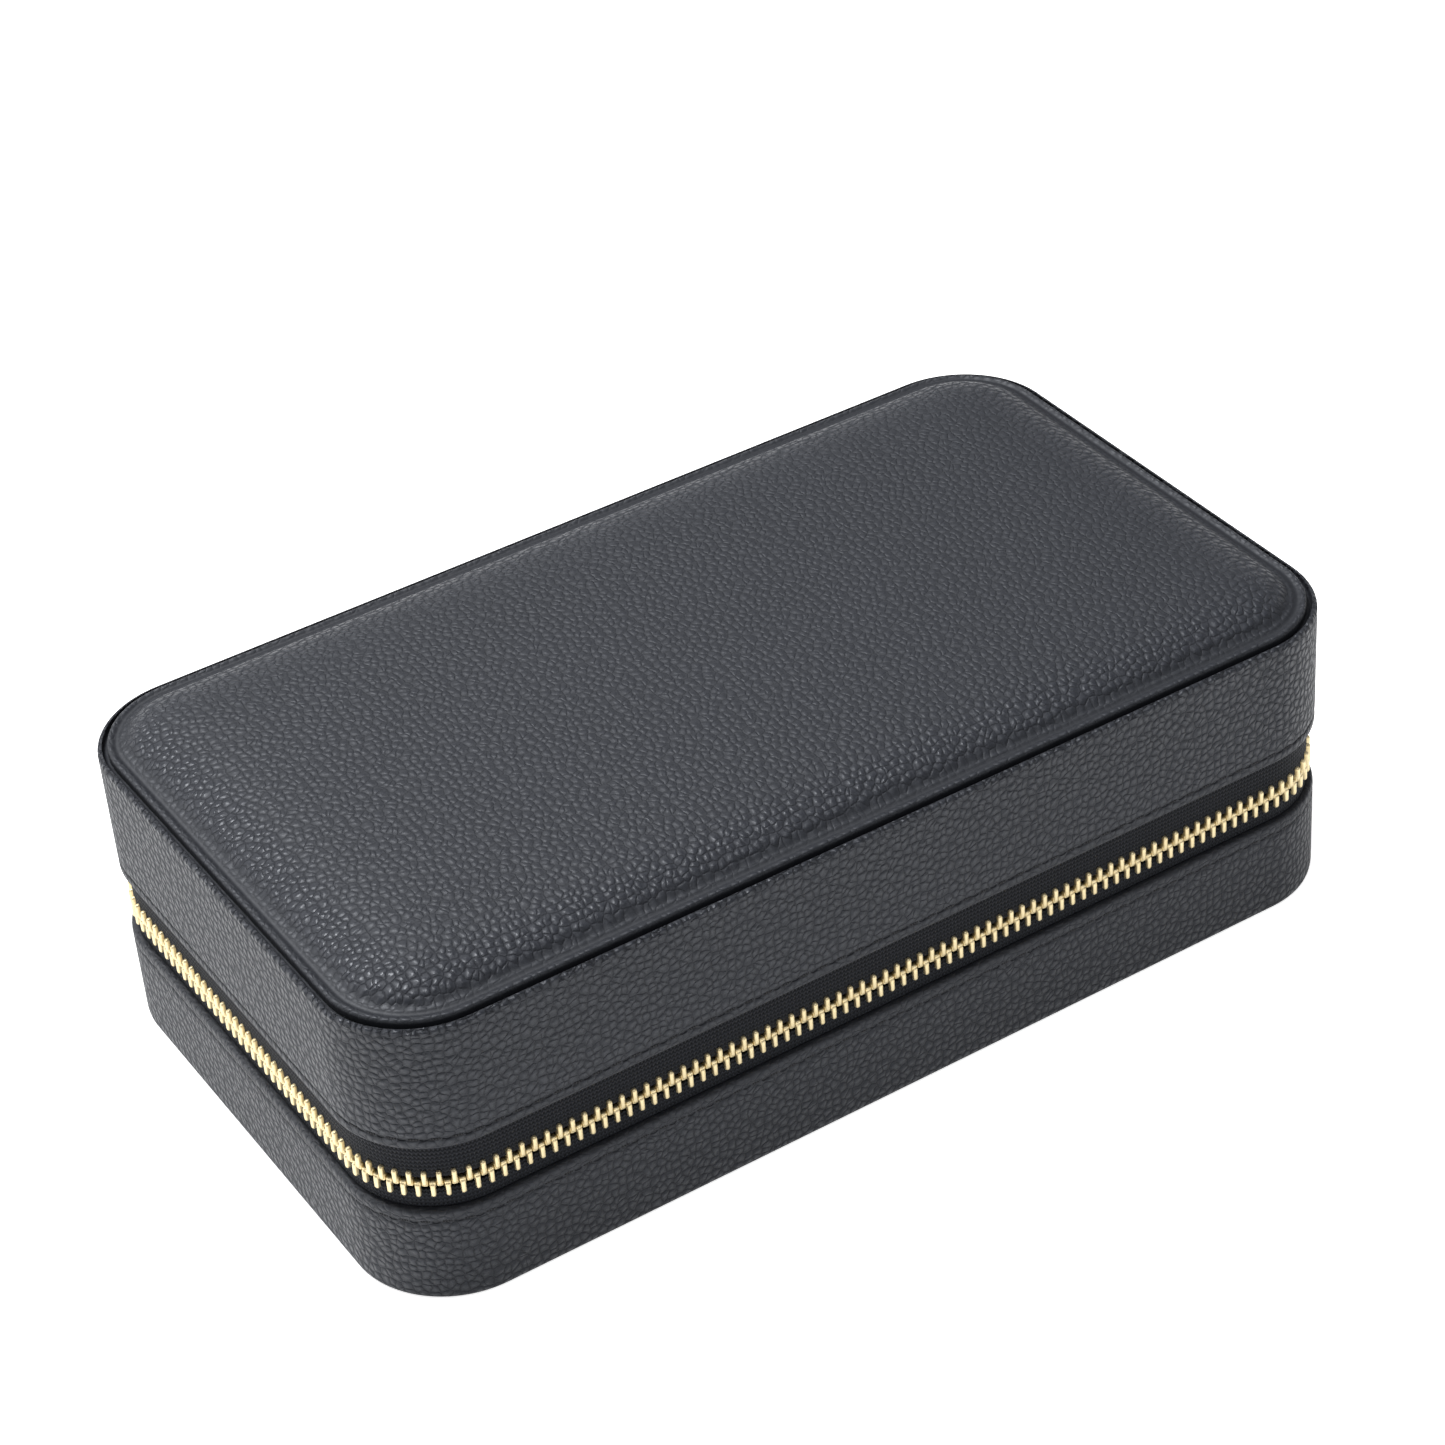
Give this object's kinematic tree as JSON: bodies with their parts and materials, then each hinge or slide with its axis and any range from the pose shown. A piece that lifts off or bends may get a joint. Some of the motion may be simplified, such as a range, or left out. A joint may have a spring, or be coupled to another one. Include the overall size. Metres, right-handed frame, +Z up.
{
  "type": "leather jewellery case",
  "caption": "Zip-around boarded leather jewellery case: padded hinged lid with a mirror, over a base with ring rolls and a lift-out tray.",
  "frame": {"origin": "middle of the case's flat underside, leaving out the pulls", "axes": "+X along the long side to the right, -Y the front, +Y the hinge side, +Z up"},
  "size_m": [0.2144, 0.12, 0.0661],
  "materials": {
    "leather": "pebbled, semi-matt",
    "board": "plain",
    "tray_board": "board covered in smooth black",
    "lining": "short suede pile",
    "ring_velvet": "velvet",
    "foam": "soft foam",
    "tape": "woven",
    "ribbon": "grosgrain",
    "gold_metal": "polished pale gold",
    "mirror": "polished"
  },
  "bodies": {
    "base": {"base_board": "board", "base_bottom_leather": "leather", "base_lining": "lining", "base_side_leather": "leather", "divider_middle": "lining", "divider_ring": "lining", "ring_roll_1": "ring_velvet", "ring_roll_2": "ring_velvet", "ring_roll_3": "ring_velvet", "ring_roll_4": "ring_velvet", "ring_roll_5": "ring_velvet", "ring_roll_6": "ring_velvet", "ring_roll_7": "ring_velvet", "spine_leather": "leather", "spine_lining": "lining", "tray_board": "tray_board", "tray_divider_long": "lining", "tray_divider_short_1": "lining", "tray_divider_short_2": "lining", "tray_lining": "lining", "tray_ribbon_back": "ribbon", "tray_ribbon_front": "ribbon", "zip_end_stops_lower": "gold_metal", "zip_tape_lower": "tape", "zip_teeth_lower": "gold_metal"},
    "lid": {"lid_board": "board", "lid_side_leather": "leather", "lid_top_leather": "leather", "lid_top_foam": "foam", "lid_lining": "lining", "mirror_frame": "lining", "mirror_glass": "mirror", "zip_tape_upper": "tape", "zip_teeth_upper": "gold_metal", "zip_end_stops_upper": "gold_metal"},
    "slider_front": {"slider_front": "gold_metal"},
    "slider_rear": {"slider_rear": "gold_metal"},
    "pull_front": {"pull_link_front": "gold_metal", "pull_tab_front": "gold_metal"},
    "pull_rear": {"pull_link_rear": "gold_metal", "pull_tab_rear": "gold_metal"}
  },
  "joints": [
    {"name": "lid_hinge", "type": "hinge", "parent": "base", "child": "lid", "pos_m": [0, 0.06, 0.026], "axis": [-1, 0, 0], "range_deg": [0, 105], "deforming": ["spine_leather", "spine_lining", "zip_teeth_upper", "zip_teeth_lower"]},
    {"name": "slider_front_slide", "type": "slide", "parent": "base", "child": "slider_front", "axis": [0, -1, 0], "range_m": [0, 0.028], "deforming": ["zip_teeth_upper", "zip_teeth_lower", "zip_tape_upper", "zip_tape_lower"]},
    {"name": "slider_rear_slide", "type": "slide", "parent": "base", "child": "slider_rear", "axis": [0, 1, 0], "range_m": [0, 0.028], "deforming": ["zip_teeth_upper", "zip_teeth_lower", "zip_tape_upper", "zip_tape_lower"]},
    {"name": "pull_front_hinge", "type": "hinge", "parent": "slider_front", "child": "pull_front", "pos_m": [0.1077, -0.00625, 0.026], "axis": [0, -1, 0], "range_deg": [0, 170]},
    {"name": "pull_rear_hinge", "type": "hinge", "parent": "slider_rear", "child": "pull_rear", "pos_m": [0.1077, 0.00625, 0.026], "axis": [0, -1, 0], "range_deg": [0, 170]}
  ]
}
